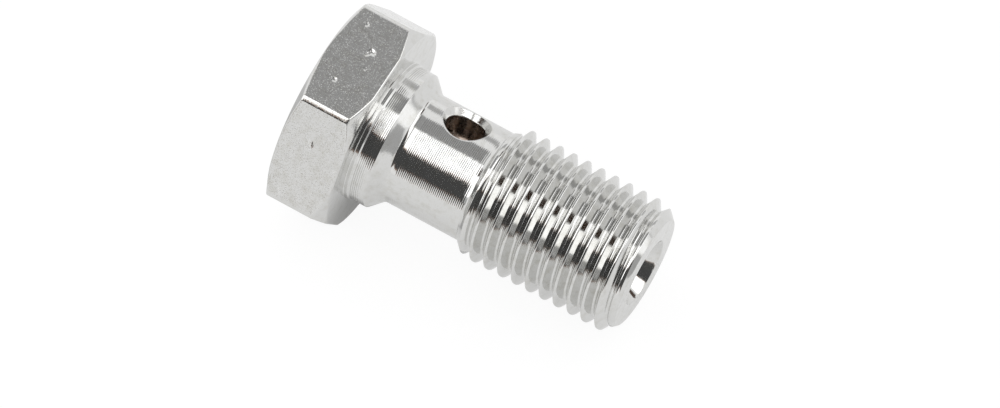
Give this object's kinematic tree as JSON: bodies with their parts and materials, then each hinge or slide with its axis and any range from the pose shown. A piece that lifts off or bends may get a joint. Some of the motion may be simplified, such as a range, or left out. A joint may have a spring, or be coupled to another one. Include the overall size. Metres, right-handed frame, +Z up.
{
  "type": "banjo bolt",
  "caption": "Hollow hexagon-head banjo bolt with a collar, an oil bore up the middle, a hole across the shank and a fine right-hand thread, lying on its side.",
  "frame": {"origin": "bottom centre of the bounding box of the bolt as it lies", "axes": "+X along the bolt towards its tip, seen from above; +Z up; the tip dips a little, as the bolt rests on one flat of the head and on its last full thread crest"},
  "size_m": [0.026, 0.0162, 0.0146],
  "materials": {
    "bright_steel": "bright plated steel, turned, with small dents on the head"
  },
  "bodies": {
    "root": {"banjo_bolt": "bright_steel"}
  },
  "joints": []
}
